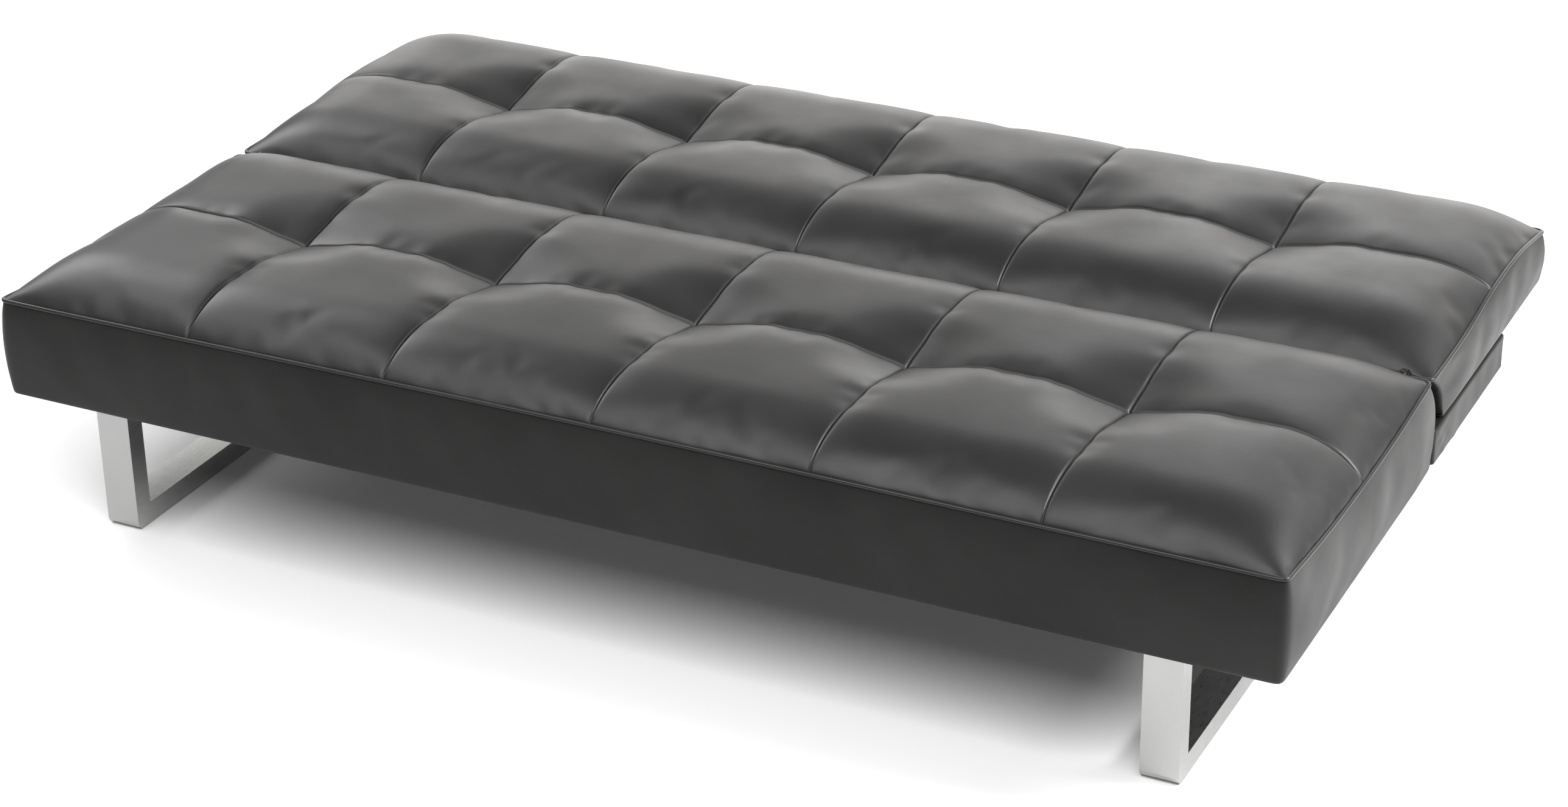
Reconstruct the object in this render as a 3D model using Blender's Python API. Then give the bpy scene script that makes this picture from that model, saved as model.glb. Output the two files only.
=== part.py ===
"""Upholstered click-clack sofa bed, lying flat as a bed.

The seat, a low base box behind it and two steel sled legs are one rigid body.
The back lies flat behind the seat and swings up about two pivots between them.
Metres, +Z up. Origin: on the floor, under the middle of the flat bed.
X runs along the sofa, and -Y is the side that people sit down from.
"""
import math

import bmesh
import bpy
from mathutils import Vector

# Driving dimensions
LENGTH = 1.80
BED_DEPTH = 1.095
SEAT_DEPTH = 0.598          # at its bulging lower rear
SEAT_TOP_DEPTH = 0.552
SEAT_BULGE_Z = 0.235        # where the seat's rear begins to lean forward
BACK_DEPTH = 0.463          # along its underside
BACK_TOP_DEPTH = 0.517
BASE_REACH = 0.920          # from the seat's front to the base box's rear
SEAT_BOTTOM = 0.183
SEAT_WELT_Z = 0.320         # height of the piping round the seat's top
BACK_BOTTOM = 0.2395
BACK_WELT_Z = 0.316
BASE_TOP = 0.2306
PANEL_COLUMNS = 6
SEAT_TUFT_Y = 0.283         # tuft row, from the seat's front
BACK_TUFT_Y = 0.250         # tuft row, from the back's top front edge

CLEAR = 0.0003              # between pieces that touch
COVER = 0.0025              # leather with its thin wadding
WELT_RADIUS = 0.003
SEAT_CROWN = 0.048          # rise of the padding above its edge
BACK_CROWN = 0.052
ROLL = 0.075                # width of the rounded edge of the padding
TUFT_DIP = 0.022
SEAM_DIP = 0.006

RAIL_WIDTH = 0.025
SEAT_RAIL_HEIGHT = 0.048
BACK_RAIL_HEIGHT = 0.0405
LINING = 0.0015             # dust cover cloth
PANEL = 0.003               # deck board and back panel
CROSS_RAIL_WIDTH = 0.050

LEG_INSET = 0.124           # from the sofa's end to the leg's outer face
LEG_WIDTH = 0.050
LEG_TUBE = 0.030
LEG_FRONT = 0.0195
LEG_REAR = 0.880
LEG_CORNER = 0.010
FLANGE_REACH = 0.060        # beyond the upright's inner face
FLANGE = 0.003
BOLT_RADIUS = 0.003
BOLT_INSET = 0.02          # first bolt to its upright
BOLT_HOLE = 0.0035
BOLT_HEAD_RADIUS = 0.0055
BOLT_HEAD_HEIGHT = 0.004
BOLT_GRIP = 0.024
BOLT_PITCH = 0.025

PIVOT_Y = 0.565             # from the seat's front
PIVOT_Z = 0.318
PLATE = 0.0042
PLATE_X = 0.8590            # inner face of the swinging arm
LUG_RADIUS = 0.010
NECK_HALF_WIDTH = 0.0065
PIVOT_RADIUS = 0.004
BORE_INNER = 0.84          # the pivot bore's cutter runs from here
BORE_OUTER = 0.89          # to here, along the length
NECK_WAIST_Z = 0.268       # heights where the hinge plates' necks turn
NECK_TOP_Z = 0.298
ARM_ELBOW_Z = 0.262
FOOT_REACH = 0.070         # bracket foot behind the back's front
FOOT_MARGIN = 0.005        # plates stay inside the rails by these
PLATE_MARGIN = 0.003
TAIL_MARGIN = 0.004
TAIL_TOP_MARGIN = 0.002
PIVOT_HOLE = 0.0044
PIVOT_HEAD = 0.0075
PIVOT_HEAD_HEIGHT = 0.0025
TOOTH_COUNT = 6
TOOTH_DEPTH = 0.0013
ARM_TAIL = 0.160

WIRE_RADIUS = 0.0018
SPRING_COUNT = 4
SPRING_SPACING = 0.30
SPRING_HALF_WIDTH = 0.028
SPRING_PASSES = 10

FRONT = -BED_DEPTH / 2
REAR = BED_DEPTH / 2
END = LENGTH / 2
SEAT_REAR = FRONT + SEAT_DEPTH
BACK_FRONT = REAR - BACK_DEPTH
SEAT_FRONT_FACE = [(FRONT, SEAT_BOTTOM), (FRONT, SEAT_WELT_Z)]
SEAT_REAR_FACE = [(SEAT_REAR, SEAT_BOTTOM), (SEAT_REAR, SEAT_BULGE_Z), (FRONT + SEAT_TOP_DEPTH, SEAT_WELT_Z)]
BACK_FRONT_FACE = [(BACK_FRONT, BACK_BOTTOM), (REAR - BACK_TOP_DEPTH, BACK_WELT_Z)]
BACK_REAR_FACE = [(REAR, BACK_BOTTOM), (REAR, BACK_WELT_Z)]
BASE_REAR = FRONT + BASE_REACH
PIVOT = Vector((0, FRONT + PIVOT_Y, PIVOT_Z))
INNER = END - COVER - CLEAR                     # inside the end borders
WELT_WIDTH = 2 * WELT_RADIUS + CLEAR
TOP_HALF = END - WELT_WIDTH                     # half the length inside the piping
SEAT_RAIL_BOTTOM = SEAT_BOTTOM + LINING + CLEAR
SEAT_RAIL_TOP = SEAT_RAIL_BOTTOM + SEAT_RAIL_HEIGHT
BACK_RAIL_BOTTOM = BACK_BOTTOM + PANEL + CLEAR
BACK_RAIL_TOP = BACK_RAIL_BOTTOM + BACK_RAIL_HEIGHT
BASE_RAIL_TOP = BASE_TOP - PANEL - CLEAR
LEG_TOP = SEAT_BOTTOM - CLEAR
LEG_X = END - LEG_INSET - LEG_WIDTH / 2
ARM_OUTER = PLATE_X + PLATE
BRACKET_X = ARM_OUTER + CLEAR
BRACKET_OUTER = BRACKET_X + PLATE
SIDES = {"left": -1, "right": 1}

FINISHES = {                # colour, roughness, metallic
    "leather": ((0.012, 0.011, 0.011), 0.38, 0.0),
    "welt": ((0.009, 0.009, 0.009), 0.35, 0.0),
    "lining": ((0.02, 0.02, 0.021), 0.95, 0.0),
    "foam": ((0.80, 0.74, 0.52), 0.95, 0.0),
    "timber": ((0.55, 0.38, 0.21), 0.65, 0.0),
    "spring_steel": ((0.28, 0.28, 0.29), 0.40, 1.0),
    "satin_chrome": ((0.66, 0.66, 0.67), 0.28, 1.0),
    "zinc": ((0.45, 0.46, 0.47), 0.38, 1.0),
}


def clear_scene():
    for old in list(bpy.data.objects):
        bpy.data.objects.remove(old, do_unlink=True)


def finish(piece, kind):
    """Give a piece its own plain material."""
    colour, roughness, metallic = FINISHES[kind]
    material = bpy.data.materials.new(piece.name + "_" + kind)
    material.use_nodes = True
    shader = material.node_tree.nodes["Principled BSDF"]
    shader.inputs["Base Color"].default_value = (*colour, 1.0)
    shader.inputs["Roughness"].default_value = roughness
    shader.inputs["Metallic"].default_value = metallic
    material.diffuse_color = (*colour, 1.0)
    piece.data.materials.append(material)
    return piece


def add_piece(name, mesh, kind, owner=None):
    piece = bpy.data.objects.new(name, mesh)
    bpy.context.scene.collection.objects.link(piece)
    finish(piece, kind)
    if owner:
        piece.parent = owner
        piece.matrix_parent_inverse = owner.matrix_world.inverted()
    return piece


def from_bmesh(name, shape, kind, owner=None, smooth_angle=None):
    bmesh.ops.recalc_face_normals(shape, faces=shape.faces)
    mesh = bpy.data.meshes.new(name)
    shape.to_mesh(mesh)
    shape.free()
    if smooth_angle:
        mesh.shade_smooth()
        mesh.set_sharp_from_angle(angle=math.radians(smooth_angle))
    return add_piece(name, mesh, kind, owner)


def box(name, low, high, kind, owner=None):
    shape = bmesh.new()
    bmesh.ops.create_cube(shape, size=1.0)
    low, high = Vector(low), Vector(high)
    bmesh.ops.scale(shape, vec=high - low, verts=shape.verts)
    bmesh.ops.translate(shape, vec=(low + high) / 2, verts=shape.verts)
    return from_bmesh(name, shape, kind, owner)


def plate_along_x(name, outline, x_low, x_high, kind, owner=None, smooth_angle=30):
    """A closed outline of (y, z) points, given a thickness along X."""
    shape = bmesh.new()
    ring = [shape.verts.new((x_low, y, z)) for y, z in outline]
    face = shape.faces.new(ring)
    moved = bmesh.ops.extrude_face_region(shape, geom=[face])["geom"]
    new_verts = [item for item in moved if isinstance(item, bmesh.types.BMVert)]
    bmesh.ops.translate(shape, vec=(x_high - x_low, 0, 0), verts=new_verts)
    return from_bmesh(name, shape, kind, owner, smooth_angle)


def arc(centre, radius, start, end, steps):
    """Points of an arc, angles in degrees."""
    points = []
    for step in range(steps + 1):
        angle = math.radians(start + (end - start) * step / steps)
        points.append((centre[0] + radius * math.cos(angle), centre[1] + radius * math.sin(angle)))
    return points


def turned(name, profile, centre, axis, sides, kind, owner=None):
    """A solid of revolution: profile points are (distance along the axis, radius)."""
    shape = bmesh.new()
    turn = Vector((0, 0, 1)).rotation_difference(Vector(axis))
    rings = []
    for along, radius in profile:
        ring = []
        for side in range(sides):
            angle = 2 * math.pi * side / sides
            point = Vector((radius * math.cos(angle), radius * math.sin(angle), along))
            ring.append(shape.verts.new(Vector(centre) + turn @ point))
        rings.append(ring)
    for lower, upper in zip(rings, rings[1:]):
        for side in range(sides):
            following = (side + 1) % sides
            shape.faces.new((lower[side], lower[following], upper[following], upper[side]))
    shape.faces.new(rings[0])
    shape.faces.new(rings[-1])
    return from_bmesh(name, shape, kind, owner, smooth_angle=40)


def cut(piece, cutter):
    modifier = piece.modifiers.new("cut_" + cutter.name, "BOOLEAN")
    modifier.operation = "DIFFERENCE"
    modifier.object = cutter


def hide_cutter(cutter):
    cutter.hide_render = True
    cutter.display_type = "WIRE"
    return cutter


# Padding

def edge_rise(distance):
    """From 0 at the edge to 1 where the rounded edge ends."""
    reach = min(max(distance / ROLL, 0.0), 1.0)
    return math.sqrt(1 - (1 - reach) ** 2)


def padding_rise(x, y, front, rear, tuft_y, crown):
    """Height of the padding above its edge, with the tuft row and the seams pressed in."""
    column = LENGTH / PANEL_COLUMNS
    at_seam = abs(x / column - round(x / column)) < 0.01 and abs(x) < END - column / 2
    at_tuft_row = abs(y - tuft_y) < 0.001
    dip = SEAM_DIP if at_seam or at_tuft_row else 0
    if at_seam and at_tuft_row:
        dip = TUFT_DIP
    return (crown - dip) * edge_rise(TOP_HALF - abs(x)) * edge_rise(min(y - front, rear - y))


def padding_grid(front, rear, tuft_y):
    """Columns and rows that follow the rounded edges, the panels and the tuft row."""
    edge_steps = (0.0, 0.008, 0.022, 0.045, ROLL)
    step = LENGTH / PANEL_COLUMNS / 2
    inner_columns = [step * number for number in range(-5, 6)]
    columns = [-TOP_HALF + offset for offset in edge_steps] + inner_columns
    columns += [TOP_HALF - offset for offset in reversed(edge_steps)]
    rows = [front + offset for offset in edge_steps]
    rows += [(rows[-1] + tuft_y) / 2, tuft_y, (rear - ROLL + tuft_y) / 2]
    rows += [rear - offset for offset in reversed(edge_steps)]
    return columns, rows


def slab(name, upper_grid, lower_grid, top, bottom, kind, owner=None):
    """A closed solid between two height functions, each over its own grid of columns and rows."""
    shape = bmesh.new()
    columns, rows = upper_grid
    upper = [[shape.verts.new((x, y, top(x, y))) for x in columns] for y in rows]
    lower = [[shape.verts.new((x, y, bottom(x, y))) for x in lower_grid[0]] for y in lower_grid[1]]
    for row in range(len(rows) - 1):
        for column in range(len(columns) - 1):
            for layer in (upper, lower):
                shape.faces.new((layer[row][column], layer[row][column + 1],
                                 layer[row + 1][column + 1], layer[row + 1][column]))
    last_row, last_column = len(rows) - 1, len(columns) - 1
    rim = [(0, column) for column in range(last_column)]
    rim += [(row, last_column) for row in range(last_row)]
    rim += [(last_row, column) for column in range(last_column, 0, -1)]
    rim += [(row, 0) for row in range(last_row, 0, -1)]
    for (row, column), (next_row, next_column) in zip(rim, rim[1:] + rim[:1]):
        shape.faces.new((upper[row][column], upper[next_row][next_column],
                         lower[next_row][next_column], lower[row][column]))
    return from_bmesh(name, shape, kind, owner, smooth_angle=35)


def face_y(face, z):
    """Where an upright face, given as (y, z) points from its bottom to its top, is at a height."""
    for (low_y, low_z), (high_y, high_z) in zip(face, face[1:]):
        if z <= high_z:
            return low_y + (high_y - low_y) * (z - low_z) / (high_z - low_z)
    return face[-1][0]


def padding(prefix, front_face, rear_face, tuft_y, crown, frame_top, owner=None):
    """Foam on the frame and the quilted leather cover over it."""
    welt_z = front_face[-1][1]
    foam_edge = welt_z - WELT_RADIUS - 2 * CLEAR
    foam_low = frame_top + CLEAR
    skin = COVER + CLEAR
    front, rear = front_face[-1][0] + WELT_WIDTH, rear_face[-1][0] - WELT_WIDTH
    low_front, low_rear = face_y(front_face, foam_low) + skin, face_y(rear_face, foam_low) - skin
    columns, rows = padding_grid(front, rear, tuft_y)
    grid = (columns, rows)
    stretch = (low_rear - low_front) / (rear - front)
    low_grid = ([x * INNER / TOP_HALF for x in columns], [low_front + (y - front) * stretch for y in rows])

    def foam_top(x, y):
        return foam_edge + padding_rise(x, y, front, rear, tuft_y, crown)

    def foam_bottom(x, y):
        return foam_low

    def cover_top(x, y):
        return foam_top(x, y) + skin

    def cover_bottom(x, y):
        return foam_top(x, y) + CLEAR

    slab(prefix + "_foam", grid, low_grid, foam_top, foam_bottom, "foam", owner)
    slab(prefix + "_quilted_cover", grid, grid, cover_top, cover_bottom, "leather", owner)


def borders(prefix, front_face, rear_face, owner=None):
    """The four upright strips of cover, sewn to the piping at their top."""
    top = front_face[-1][1] - WELT_RADIUS - CLEAR

    def trimmed(face, inset):
        points = [(y + inset, z) for y, z in face[:-1]]
        return points + [(face_y(face, top) + inset, top)]

    strips = {}
    for side, face, inward in (("front", front_face, COVER), ("rear", rear_face, -COVER)):
        outline = trimmed(face, 0) + trimmed(face, inward)[::-1]
        strips[side] = plate_along_x(f"{prefix}_border_{side}", outline, -END, END, "leather", owner)
    skin = COVER + CLEAR
    outline = trimmed(front_face, skin) + trimmed(rear_face, -skin)[::-1]
    for side, sign in SIDES.items():
        strips[side] = plate_along_x(f"{prefix}_border_{side}", outline, sign * (END - COVER),
                                     sign * END, "leather", owner)
    return strips


def welt(prefix, front_face, rear_face, owner=None):
    """Piping sewn round the top edge: a closed loop of round cord."""
    (front, height), (rear, height) = front_face[-1], rear_face[-1]
    corner = 1.5 * WELT_RADIUS
    centres = [(END, rear), (-END, rear), (-END, front), (END, front)]
    shape = bmesh.new()
    rings = []
    for number, (x, y) in enumerate(centres):
        inset = WELT_RADIUS + corner
        middle = (x - math.copysign(inset, x), y - math.copysign(inset, y - (front + rear) / 2))
        for path_x, path_y in arc(middle, corner, 90 * number, 90 * number + 90, 3):
            outward = Vector((path_x - middle[0], path_y - middle[1], 0)).normalized()
            ring = []
            for side in range(6):
                angle = math.pi * side / 3
                offset = outward * math.cos(angle) + Vector((0, 0, math.sin(angle)))
                ring.append(shape.verts.new(Vector((path_x, path_y, height)) + offset * WELT_RADIUS))
            rings.append(ring)
    for ring, following in zip(rings, rings[1:] + rings[:1]):
        for side in range(6):
            other = (side + 1) % 6
            shape.faces.new((ring[side], ring[other], following[other], following[side]))
    return from_bmesh(prefix + "_piping", shape, "welt", owner, smooth_angle=60)


def sinuous_springs(prefix, front, rear, height, owner=None):
    """Zigzag wires from the front rail to the rear rail."""
    start, end = front + WIRE_RADIUS + CLEAR, rear - WIRE_RADIUS - CLEAR
    pitch = (end - start) / SPRING_PASSES
    bend = pitch / 2
    for number in range(SPRING_COUNT):
        centre = (number - (SPRING_COUNT - 1) / 2) * SPRING_SPACING
        points = [(centre, start)]
        for turn in range(SPRING_PASSES):
            side = 1 if turn % 2 else -1
            middle_y = start + pitch * (turn + 0.5)
            for x, y in arc((0, 0), bend, -90, 90, 3):
                points.append((centre + side * (SPRING_HALF_WIDTH - bend + x), middle_y + y))
        points.append((centre, end))
        curve = bpy.data.curves.new(prefix + "_spring", "CURVE")
        curve.dimensions = "3D"
        curve.bevel_depth = WIRE_RADIUS
        curve.bevel_resolution = 1
        curve.use_fill_caps = True
        spline = curve.splines.new("POLY")
        spline.points.add(len(points) - 1)
        for point, (x, y) in zip(spline.points, points):
            point.co = (x, y, height, 1)
        add_piece(f"{prefix}_spring_{number + 1}", curve, "spring_steel", owner)


# Seat, base box and legs

def seat():
    inner_front, inner_rear = FRONT + COVER + CLEAR, SEAT_REAR - COVER - CLEAR
    low, high = SEAT_RAIL_BOTTOM, SEAT_RAIL_TOP
    span_front = inner_front + RAIL_WIDTH
    span_rear = inner_rear - RAIL_WIDTH
    box("seat_rail_front", (-INNER, inner_front, low), (INNER, span_front, high), "timber")
    box("seat_rail_rear", (-INNER, span_rear, low), (INNER, inner_rear, high), "timber")
    for side, sign in SIDES.items():
        edges = sorted((sign * INNER, sign * (INNER - RAIL_WIDTH)))
        box(f"seat_rail_{side}", (edges[0], span_front + CLEAR, low),
            (edges[1], span_rear - CLEAR, high), "timber")
    sinuous_springs("seat", span_front, span_rear, high - 2 * WIRE_RADIUS)
    padding("seat", SEAT_FRONT_FACE, SEAT_REAR_FACE, FRONT + SEAT_TUFT_Y, SEAT_CROWN, high)
    borders("seat", SEAT_FRONT_FACE, SEAT_REAR_FACE)
    welt("seat", SEAT_FRONT_FACE, SEAT_REAR_FACE)
    cross_rails("seat", span_front + CLEAR, span_rear - CLEAR, low, high)
    return box("seat_dust_cover", (-INNER, inner_front, SEAT_BOTTOM),
               (INNER, inner_rear, SEAT_BOTTOM + LINING), "lining")


def cross_rails(prefix, front, rear, low, high):
    """Rails over the legs, which the leg bolts go into."""
    for side, sign in SIDES.items():
        middle = sign * LEG_X
        rail = box(f"{prefix}_leg_rail_{side}", (middle - CROSS_RAIL_WIDTH / 2, front, low),
                   (middle + CROSS_RAIL_WIDTH / 2, rear, high), "timber")
        cut(rail, bpy.data.objects["bolt_holes"])


def base_box():
    front, rear = SEAT_REAR + CLEAR, BASE_REAR - COVER - CLEAR
    low, high = SEAT_RAIL_BOTTOM, BASE_RAIL_TOP
    span_rear = rear - RAIL_WIDTH
    box("base_rail_rear", (-INNER, span_rear, low), (INNER, rear, high), "timber")
    rail_inner = BRACKET_OUTER + CLEAR
    for side, sign in SIDES.items():
        edges = sorted((sign * INNER, sign * rail_inner))
        box(f"base_rail_{side}", (edges[0], front, low), (edges[1], span_rear - CLEAR, high), "timber")
    cross_rails("base", front, span_rear - CLEAR, low, high)
    lining = box("base_dust_cover", (-INNER, front, SEAT_BOTTOM),
                 (INNER, rear, SEAT_BOTTOM + LINING), "lining")
    deck = box("base_deck", (-INNER, front, BASE_TOP - PANEL), (INNER, rear, BASE_TOP), "leather")
    for side, sign in SIDES.items():
        edges = sorted((sign * (BRACKET_X - 2 * CLEAR), sign * (BRACKET_OUTER + 2 * CLEAR)))
        slot = box(f"deck_slot_{side}", (edges[0], front - RAIL_WIDTH, BASE_TOP - 2 * PANEL),
                   (edges[1], BACK_FRONT, BASE_TOP + PANEL), "lining")
        cut(deck, hide_cutter(slot))
    base_cover(front)
    return lining


def base_cover(front):
    """One strip of cover round the base box's two ends and rear."""
    outer = [(-END, front), (-END, BASE_REAR), (END, BASE_REAR), (END, front)]
    inside = [(END - COVER, front), (END - COVER, BASE_REAR - COVER),
              (-END + COVER, BASE_REAR - COVER), (-END + COVER, front)]
    shape = bmesh.new()
    ring = [shape.verts.new((x, y, SEAT_BOTTOM)) for x, y in outer + inside]
    face = shape.faces.new(ring)
    moved = bmesh.ops.extrude_face_region(shape, geom=[face])["geom"]
    new_verts = [item for item in moved if isinstance(item, bmesh.types.BMVert)]
    bmesh.ops.translate(shape, vec=(0, 0, BASE_TOP - SEAT_BOTTOM), verts=new_verts)
    from_bmesh("base_cover", shape, "leather")


def bolt_places():
    """Two bolts in each leg flange, beyond the uprights."""
    places = {}
    front = FRONT + LEG_FRONT + LEG_TUBE + BOLT_INSET
    rear = FRONT + LEG_REAR - LEG_TUBE - BOLT_INSET
    for side, sign in SIDES.items():
        places[f"{side}_front_1"] = (sign * LEG_X, front)
        places[f"{side}_front_2"] = (sign * LEG_X, front + BOLT_PITCH)
        places[f"{side}_rear_1"] = (sign * LEG_X, rear)
        places[f"{side}_rear_2"] = (sign * LEG_X, rear - BOLT_PITCH)
    return places


def bolt_hole_cutter():
    """All the bolt holes, as one cutter of separate round bars."""
    shape = bmesh.new()
    for x, y in bolt_places().values():
        made = bmesh.ops.create_cone(shape, cap_ends=True, segments=10, radius1=BOLT_HOLE,
                                     radius2=BOLT_HOLE, depth=2 * BOLT_GRIP)
        bmesh.ops.translate(shape, vec=(x, y, LEG_TOP + FLANGE), verts=made["verts"])
    return hide_cutter(from_bmesh("bolt_holes", shape, "zinc"))


def bolts():
    base = LEG_TOP - FLANGE - CLEAR
    for place, (x, y) in bolt_places().items():
        profile = [(-BOLT_HEAD_HEIGHT, BOLT_HEAD_RADIUS), (0, BOLT_HEAD_RADIUS), (0, BOLT_RADIUS),
                   (BOLT_GRIP, BOLT_RADIUS)]
        turned("leg_bolt_" + place, profile, (x, y, base), (0, 0, 1), 8, "zinc")


def leg_outline():
    """A sled loop seen from its side: uprights, runner and the two bolting flanges."""
    front, rear = FRONT + LEG_FRONT, FRONT + LEG_REAR
    inner_front, inner_rear = front + LEG_TUBE, rear - LEG_TUBE
    flange_z = LEG_TOP - FLANGE
    outline = [(front, LEG_TOP)]
    outline += arc((front + LEG_CORNER, LEG_CORNER), LEG_CORNER, 180, 270, 3)
    outline += arc((rear - LEG_CORNER, LEG_CORNER), LEG_CORNER, 270, 360, 3)
    outline += [(rear, LEG_TOP), (inner_rear - FLANGE_REACH, LEG_TOP), (inner_rear - FLANGE_REACH, flange_z)]
    outline += [(inner_rear, flange_z), (inner_rear, LEG_TUBE), (inner_front, LEG_TUBE)]
    outline += [(inner_front, flange_z), (inner_front + FLANGE_REACH, flange_z)]
    outline += [(inner_front + FLANGE_REACH, LEG_TOP)]
    return outline


def legs():
    for side, sign in SIDES.items():
        middle = sign * LEG_X
        leg = plate_along_x(f"leg_{side}", leg_outline(), middle - LEG_WIDTH / 2,
                            middle + LEG_WIDTH / 2, "satin_chrome")
        cut(leg, bpy.data.objects["bolt_holes"])


# Hinges

def gap_middle(z):
    """Middle of the gap between the seat's rear and the back's front, at a height."""
    return (face_y(SEAT_REAR_FACE, z) + face_y(BACK_FRONT_FACE, z)) / 2


def hinge_bracket_outline():
    """A lug round the pivot, a neck down the gap, and a foot screwed to the base box's end rail."""
    low, high = SEAT_RAIL_BOTTOM + FOOT_MARGIN, BASE_RAIL_TOP - PLATE_MARGIN
    heights = (high, SEAT_BULGE_Z, NECK_WAIST_Z, NECK_TOP_Z)
    foot_end = BACK_FRONT + FOOT_REACH
    left = [(gap_middle(max(z, BACK_BOTTOM)) - NECK_HALF_WIDTH, z) for z in heights]
    right = [(gap_middle(max(z, BACK_BOTTOM)) + NECK_HALF_WIDTH, z) for z in heights]
    lug = arc((PIVOT.y, PIVOT.z), LUG_RADIUS, -10, 200, 12)
    foot = [(foot_end, high), (foot_end, low), (left[0][0], low)]
    return right + lug + left[::-1] + foot[::-1]


def hinge_arm_outline():
    """A toothed disc round the pivot, a neck down the gap and a tail inside the back's frame."""
    low, high = BACK_RAIL_BOTTOM + TAIL_MARGIN, BACK_RAIL_TOP - TAIL_TOP_MARGIN
    right = [(gap_middle(z) + NECK_HALF_WIDTH, z) for z in (high, NECK_TOP_Z)]
    left = [(gap_middle(z) - NECK_HALF_WIDTH, z) for z in (NECK_TOP_Z, ARM_ELBOW_Z)]
    left.append((gap_middle(low) - NECK_HALF_WIDTH / 2, low))
    centre = (PIVOT.y, PIVOT.z)
    disc = arc(centre, LUG_RADIUS, -10, 20, 2)
    tooth_arc = 170 / TOOTH_COUNT
    for tooth in range(TOOTH_COUNT):
        start = 25 + tooth * tooth_arc
        disc.append(arc(centre, LUG_RADIUS - TOOTH_DEPTH, start, start, 1)[0])
        disc.append(arc(centre, LUG_RADIUS, start + 0.7 * tooth_arc, start, 1)[0])
    tail_end = BACK_FRONT + ARM_TAIL
    return right + disc + left + [(tail_end, low), (tail_end, high)]


def hinges(swinging):
    """A fixed bracket, its pivot and the arm of the swinging back, at each end."""
    for side, sign in SIDES.items():
        bore_start = min(sign * BORE_INNER, sign * BORE_OUTER)
        bore = turned(f"pivot_bore_{side}", [(0, PIVOT_HOLE), (BORE_OUTER - BORE_INNER, PIVOT_HOLE)],
                      (bore_start, PIVOT.y, PIVOT.z), (1, 0, 0), 20, "zinc")
        hide_cutter(bore)
        bracket = plate_along_x(f"hinge_bracket_{side}", hinge_bracket_outline(),
                                sign * BRACKET_X, sign * BRACKET_OUTER, "zinc")
        cut(bracket, bore)
        arm = plate_along_x(f"hinge_arm_{side}", hinge_arm_outline(),
                            sign * PLATE_X, sign * ARM_OUTER, "zinc", swinging)
        cut(arm, bore)
        grip = BRACKET_OUTER - PLATE_X + 2 * CLEAR
        profile = [(-PIVOT_HEAD_HEIGHT, PIVOT_HEAD), (0, PIVOT_HEAD), (0, PIVOT_RADIUS)]
        profile += [(grip, PIVOT_RADIUS), (grip, PIVOT_HEAD), (grip + PIVOT_HEAD_HEIGHT, PIVOT_HEAD)]
        turned(f"hinge_pin_{side}", profile, (sign * (PLATE_X - CLEAR), PIVOT.y, PIVOT.z),
               (sign, 0, 0), 16, "zinc")


# Back

def back():
    """Everything that swings, parented to an empty on the hinge axis."""
    axis = bpy.data.objects.new("back_axis", None)
    axis.location = PIVOT
    bpy.context.scene.collection.objects.link(axis)
    bpy.context.view_layer.update()
    front, rear = BACK_FRONT + COVER + CLEAR, REAR - COVER - CLEAR
    low, high = BACK_RAIL_BOTTOM, BACK_RAIL_TOP
    span_front, span_rear = front + RAIL_WIDTH, rear - RAIL_WIDTH
    front_half = PLATE_X - CLEAR
    rail_inner = ARM_OUTER + CLEAR
    box("back_rail_front", (-front_half, front, low), (front_half, span_front, high), "timber", axis)
    box("back_rail_rear", (-rail_inner + CLEAR, span_rear, low), (rail_inner - CLEAR, rear, high),
        "timber", axis)
    for side, sign in SIDES.items():
        edges = sorted((sign * INNER, sign * rail_inner))
        box(f"back_rail_{side}", (edges[0], front, low), (edges[1], rear, high), "timber", axis)
    middle_half = RAIL_WIDTH / 2
    box("back_rail_middle", (-middle_half, span_front + CLEAR, low),
        (middle_half, span_rear - CLEAR, high), "timber", axis)
    sinuous_springs("back", span_front, span_rear, high - 2 * WIRE_RADIUS, axis)
    tuft_y = REAR - BACK_TOP_DEPTH + BACK_TUFT_Y
    padding("back", BACK_FRONT_FACE, BACK_REAR_FACE, tuft_y, BACK_CROWN, high, axis)
    strips = borders("back", BACK_FRONT_FACE, BACK_REAR_FACE, axis)
    for side, sign in SIDES.items():
        edges = sorted((sign * (PLATE_X - 2 * CLEAR), sign * (ARM_OUTER + 2 * CLEAR)))
        slot = box(f"arm_slot_{side}", (edges[0], SEAT_REAR, BACK_BOTTOM - PANEL),
                   (edges[1], BACK_FRONT + 2 * COVER, high), "lining")
        cut(strips["front"], hide_cutter(slot))
    welt("back", BACK_FRONT_FACE, BACK_REAR_FACE, axis)
    box("back_outside_panel", (-INNER, front, BACK_BOTTOM), (INNER, rear, BACK_BOTTOM + PANEL),
        "leather", axis)
    hinges(axis)


def main():
    clear_scene()
    bolt_hole_cutter()
    for lining in (seat(), base_box()):
        cut(lining, bpy.data.objects["bolt_holes"])
    legs()
    bolts()
    back()


main()
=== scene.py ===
"""A black leather click-clack sofa bed, lying flat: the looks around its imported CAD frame."""

import math

import bmesh
import bpy
import numpy as np
from mathutils import Matrix, Vector


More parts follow.
